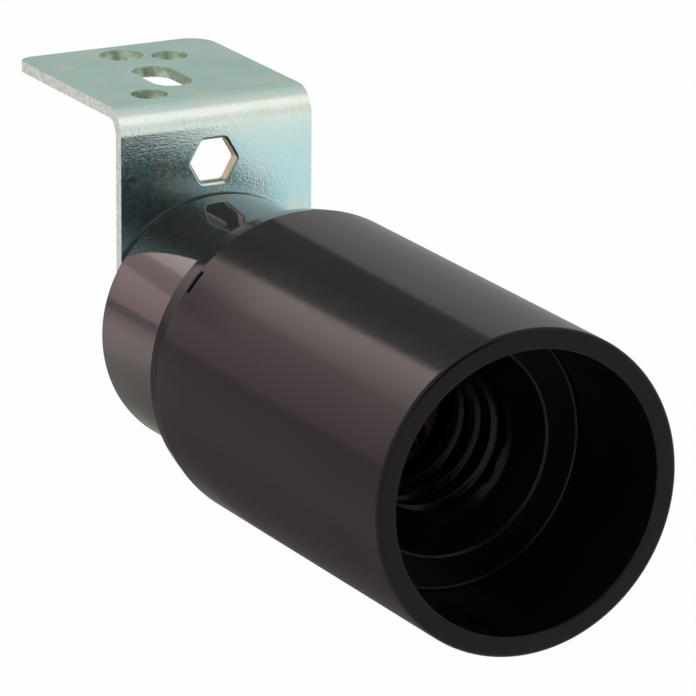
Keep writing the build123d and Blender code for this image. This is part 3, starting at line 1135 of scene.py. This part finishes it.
def card(name, layer, azimuths, elevations, soft, strength, tones, along="Y"):
    """A studio card that only reflections see, from its edges' directions as seen from the object.

    The first tone is at its low edge, or its edge at the lower azimuth; a lower layer is nearer."""
    distance = card_distance + layer * card_spacing
    half = [distance * tan(radians(abs(b - a) / 2)) for a, b in (azimuths, elevations)]
    corners = corners_of(-half[0], -half[1], half[0], half[1])
    piece = flat_piece(name, [(x * MM, y * MM, 0) for x, y in corners])
    out = direction(sum(azimuths) / 2, sum(elevations) / 2)
    place = out.to_track_quat("Z", "Y").to_matrix().to_4x4()
    place.translation = (camera_focus + out * distance) * MM
    piece.matrix_world = place

    material, tree, glow = glow_material(name)
    axes = place_axes(tree)
    reach = half["XY".index(along)]
    link(tree, ramp(tree, spread(tree, axes[along], -reach, reach), *tones), glow.inputs["Color"])
    glow.inputs["Strength"].default_value = strength
    faded = distance * tan(radians(soft))
    share = product(tree, *(fade(tree, axes[axis], size, faded) for axis, size in zip("XY", half)))
    finish_card(piece, material, tree, share, glow)


def near_board(name, low, high, right, inner, outer, cover, tones):
    """A board close behind the holder, a part of a ring about the lamp axis that only the cap reflects.

    It reaches from one height to another, covers by a share and glows in tones from its low edge up."""
    corners = corners_of(-outer, low, right, high)
    piece = flat_piece(name, [(x * MM, 0, z * MM) for x, z in corners])
    piece.location = (0, board_place * MM, 0)

    material, tree, glow = glow_material(name)
    axes = place_axes(tree)
    link(tree, ramp(tree, spread(tree, axes["Z"], low, high), *tones), glow.inputs["Color"])
    radius = axis_radius(tree, axes)
    share = product(
        tree,
        stretch(tree, radius, inner - board_edge, inner + board_edge),
        stretch(tree, radius, outer + board_edge, outer - board_edge),
        stretch(tree, axes["Z"], low, low + board_fade),
        stretch(tree, axes["Z"], high, high - board_fade),
        stretch(tree, axes["X"], right, right - 2 * board_fade),
        cover,
    )
    finish_card(piece, material, tree, share, glow)


def make_cards():
    """The cards that shape the reflections: a dim room behind, a warm window and a dark front."""
    even = ((0.0, 1.0), (1.0, 1.0))
    card("key", 0, (191.5, 208), (22.6, 44), 1.6, 4.2, (
        (0.0, (1.0, 0.86, 0.82)), (1.0, (0.50, 0.39, 0.39))), along="X")
    card("left_wall", 1, (198, 236), (0.0, 34), 2.5, 2.2, (
        (0.0, (0.42, 0.30, 0.31)), (0.3, (0.62, 0.44, 0.45)),
        (0.62, (0.80, 0.59, 0.60)), (0.75, (1.0, 0.78, 0.78))))
    card("left_foot", 2, (165, 232), (-40, 6), 3.0, 0.56, (
        (0.05, (0.22, 0.19, 0.18)), (0.35, (0.29, 0.25, 0.24)), (0.5, (0.46, 0.39, 0.39)),
        (0.6, (0.8, 0.64, 0.66)), (0.7, (1.0, 0.79, 0.81))), along="X")
    card("back_glow", 3, (177, 200), (-3, 17), 2.0, 1.1, (
        (0.0, (0.25, 0.20, 0.18)), (0.4, (0.45, 0.38, 0.37)), (0.75, (1.0, 0.88, 0.84))))
    card("back_low", 6, (162, 178), (-6, 22), 2.5, 0.6, even)
    card("back_top", 4, (163, 191), (26, 46), 1.0, 0.6, (
        (0.0, 0.36), (0.5, 0.46), (0.72, 0.70), (0.9, 0.9)), along="X")
    card("right_wall", 5, (122, 161), (-36, 66), 2.0, 0.75, (
        (0.2, 0.42), (0.42, 0.56), (0.5, 0.75), (0.6, 1.0), (0.8, 0.75)))
    card("high_dim", 6, (88, 132), (44, 80), 8.0, 0.72, even)
    card("back_wall", 8, (130, 230), (-65, 45), 3.0, 0.12, even)
    card("front_flag", 0, (-17, 19.4), (5, 54), 1.5, 0.05, even)
    card("top_light", 1, (6, 64), (26, 66), 9.0, 1.25, (
        (0.0, (1.0, 0.93, 0.94)), (1.0, (1.0, 0.93, 0.94))))
    near_board("cap_fill", -62.0, 0.5, 40.0, 40.0, 57.0, 1.0, (
        (0.2, (0.20, 0.20, 0.19)), (0.5, (0.50, 0.46, 0.42)), (0.63, (0.80, 0.67, 0.65)),
        (0.8, (1.0, 0.80, 0.78)), (0.92, (0.8, 0.65, 0.62))))
    near_board("cap_veil", 24.0, 66.0, 5.0, 40.0, 64.0, 0.42, ((0.0, 0.1), (1.0, 0.1)))


def make_surround():
    """An even white surround."""
    world = bpy.data.worlds.new("surround")
    bpy.context.scene.world = world
    world.use_nodes = True
    background = world.node_tree.nodes["Background"]
    background.inputs["Color"].default_value = (1, 1, 1, 1)
    background.inputs["Strength"].default_value = 1.0


def make_floor():
    """A plain pale floor."""
    material, tree, shader = finish("floor", Roughness=0.9, Specular_IOR_Level=0.0)
    link(tree, ramp(tree, noise(tree, 400.0), (0.3, 0.985), (0.7, 1.0)), shader.inputs["Base Color"])
    corners = corners_of(-floor_side, -floor_side, floor_side, floor_side)
    floor = flat_piece("floor", [(x * MM, y * MM, floor_height * MM) for x, y in corners])
    floor.data.materials.append(material)
    floor.visible_glossy = False


def make_camera():
    """The camera at the photograph's viewing angle."""
    data = bpy.data.cameras.new("camera")
    camera = linked("camera", data)
    bpy.context.scene.camera = camera
    turn, lift = camera_azimuth, camera_elevation
    back = Vector((sin(turn) * cos(lift), -cos(turn) * cos(lift), sin(lift)))
    right = Vector((cos(turn), sin(turn), 0))
    up = back.cross(right)
    leaned_right = right * cos(camera_roll) + up * sin(camera_roll)
    leaned_up = up * cos(camera_roll) - right * sin(camera_roll)
    place = Matrix((leaned_right, leaned_up, back)).transposed().to_4x4()
    target = camera_focus + leaned_right * camera_aside + leaned_up * camera_rise
    place.translation = (target + back * camera_distance) * MM
    camera.matrix_world = place
    data.sensor_width = sensor
    data.lens = sensor * photo_focal / photo_side
    data.shift_x = -photo_shift_right / photo_side
    data.shift_y = photo_shift_down / photo_side
    data.clip_start = 0.01
    data.clip_end = 100.0


dress()
make_surround()
make_floor()
make_cards()
make_camera()
bpy.context.scene.view_settings.view_transform = "Standard"
